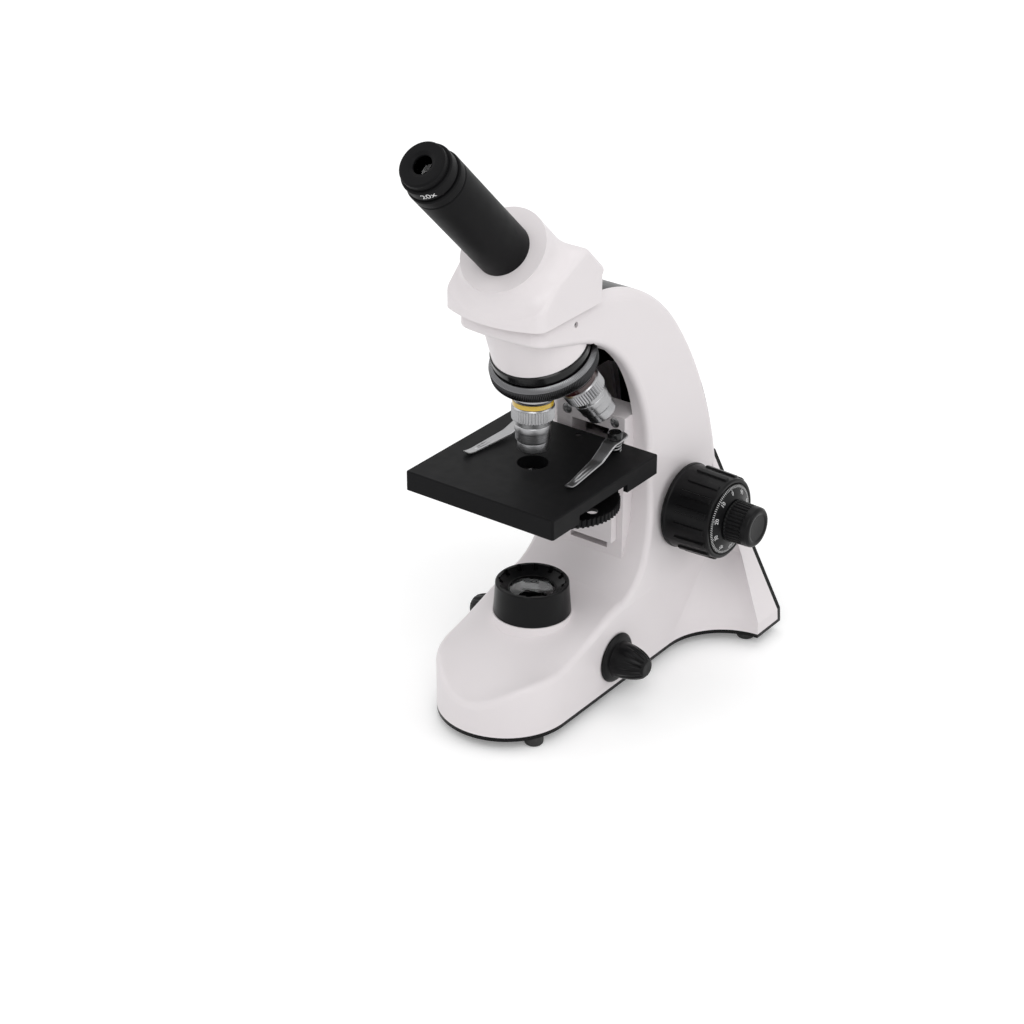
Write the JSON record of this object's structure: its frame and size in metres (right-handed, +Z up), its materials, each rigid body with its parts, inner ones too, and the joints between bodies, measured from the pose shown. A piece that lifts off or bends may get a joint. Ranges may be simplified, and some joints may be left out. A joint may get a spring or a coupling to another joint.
{
  "type": "microscope",
  "caption": "Upright student microscope with a slanted eyepiece tube, turning nosepiece, square stage with clips, base lamp and coaxial focus knobs.",
  "frame": {"origin": "where the optical axis meets the table", "axes": "+Z up along the optical axis, -Y to the front where the base's nose and the eyepiece point, +X the side of the dimmer knob"},
  "size_m": [0.162, 0.227, 0.325],
  "materials": {
    "white_paint": "satin",
    "black_plastic": "satin",
    "black_paint": "satin",
    "silver_metal": "satin",
    "steel": "polished",
    "brass": "satin",
    "optical_glass": "polished",
    "yellow_band": "gloss",
    "red_band": "gloss",
    "blue_band": "gloss",
    "circuit_green": "satin",
    "foot_rubber": "matte"
  },
  "bodies": {
    "stand": {"body_shell": "white_paint", "base_plate": "black_plastic", "base_plate_screws": "steel", "rubber_feet": "foot_rubber", "rear_cover": "black_plastic", "rear_cover_screws": "steel", "power_jack": "black_plastic", "circuit_board": "circuit_green", "lamp_collar": "black_plastic", "lamp_lens": "optical_glass", "lamp_board": "circuit_green", "dimmer_potentiometer": "black_plastic", "selector_switch": "black_plastic", "nosepiece_mount": "white_paint", "nosepiece_race": "black_paint", "turret_stud": "steel", "slide_guide": "white_paint", "guide_cap": "white_paint", "guide_screws": "steel", "head_clamp_screw": "steel", "shaft_bushes": "brass", "counter_pin": "steel"},
    "dimmer": {"dimmer_knob": "black_plastic"},
    "selector": {"selector_knob": "black_plastic"},
    "nosepiece": {"turret": "black_paint", "objective_mid": "silver_metal", "objective_high": "silver_metal", "objective_low": "silver_metal", "band_mid": "yellow_band", "band_high": "blue_band", "band_low": "red_band", "objective_lenses": "optical_glass"},
    "stage": {"carriage": "white_paint", "rack": "brass", "stage_bracket": "black_paint", "stage_plate": "black_paint", "stage_screw": "black_paint", "condenser_cell": "black_paint", "condenser_lens": "optical_glass", "diaphragm_screw": "steel", "clip_posts": "steel", "clip_springs": "steel"},
    "diaphragm": {"diaphragm_disc": "black_plastic"},
    "clip_right": {"right_clip": "steel"},
    "clip_left": {"left_clip": "steel"},
    "head": {"head_shell": "white_paint", "prism": "optical_glass", "eyepiece_tube": "black_paint"},
    "eyepiece": {"eyepiece_barrel": "black_paint", "eyepiece_cap": "black_paint", "eyepiece_lenses": "optical_glass"},
    "coarse_right": {"right_sleeve": "steel", "right_coarse_knob": "black_plastic"},
    "coarse_left": {"left_sleeve": "steel", "left_coarse_knob": "black_plastic"},
    "fine": {"fine_shaft": "steel", "fine_knobs": "black_plastic", "dial_rings": "black_plastic"},
    "counter": {"counter_gear": "brass"}
  },
  "joints": [
    {"name": "head_turn", "type": "hinge", "parent": "stand", "child": "head", "pos_m": [0, 0, 0.2245], "axis": [0, 0, 1], "continuous": true},
    {"name": "eyepiece_lift", "type": "slide", "parent": "head", "child": "eyepiece", "axis": [0, -0.7071, 0.7071], "range_m": [0, 0.025]},
    {"name": "nosepiece_turn", "type": "hinge", "parent": "stand", "child": "nosepiece", "pos_m": [0, 0, 0.212], "axis": [0, 0.342, -0.9397], "continuous": true},
    {"name": "stage_lift", "type": "slide", "parent": "stand", "child": "stage", "axis": [0, 0, 1], "range_m": [-0.009, 0.001]},
    {"name": "coarse_right_turn", "type": "hinge", "parent": "stand", "child": "coarse_right", "pos_m": [0, 0.086, 0.088], "axis": [-1, 0, 0], "range_deg": [-93, 11]},
    {"name": "coarse_left_turn", "type": "hinge", "parent": "stand", "child": "coarse_left", "pos_m": [0, 0.086, 0.088], "axis": [-1, 0, 0], "range_deg": [-93, 11]},
    {"name": "fine_turn", "type": "hinge", "parent": "stand", "child": "fine", "pos_m": [0, 0.086, 0.088], "axis": [-1, 0, 0], "range_deg": [-830, 93]},
    {"name": "counter_gear_turn", "type": "hinge", "parent": "stand", "child": "counter", "pos_m": [0, 0.0956, 0.10463], "axis": [-1, 0, 0], "range_deg": [-31.5, 277]},
    {"name": "diaphragm_turn", "type": "hinge", "parent": "stage", "child": "diaphragm", "pos_m": [0.0175, 0.0065, 0.1195], "axis": [0, 0, 1], "continuous": true},
    {"name": "right_clip_swing", "type": "hinge", "parent": "stage", "child": "clip_right", "pos_m": [0.0255, 0.035, 0.1424], "axis": [0, 0, 1], "range_deg": [-20, 12]},
    {"name": "left_clip_swing", "type": "hinge", "parent": "stage", "child": "clip_left", "pos_m": [-0.0255, 0.035, 0.1424], "axis": [0, 0, 1], "range_deg": [-12, 20]},
    {"name": "dimmer_turn", "type": "hinge", "parent": "stand", "child": "dimmer", "pos_m": [0.036, 0.024, 0.0246], "axis": [1, 0, 0], "range_deg": [-135, 135]},
    {"name": "selector_turn", "type": "hinge", "parent": "stand", "child": "selector", "pos_m": [-0.036, 0.024, 0.0246], "axis": [-1, 0, 0], "range_deg": [-45, 45]}
  ],
  "couplings": [
    {"joint": "coarse_right_turn", "follows": "stage_lift", "rad_per_m": 178.57},
    {"joint": "coarse_left_turn", "follows": "stage_lift", "rad_per_m": 178.57},
    {"joint": "fine_turn", "follows": "stage_lift", "rad_per_m": 1607.1},
    {"joint": "counter_gear_turn", "follows": "stage_lift", "rad_per_m": -535.71}
  ]
}
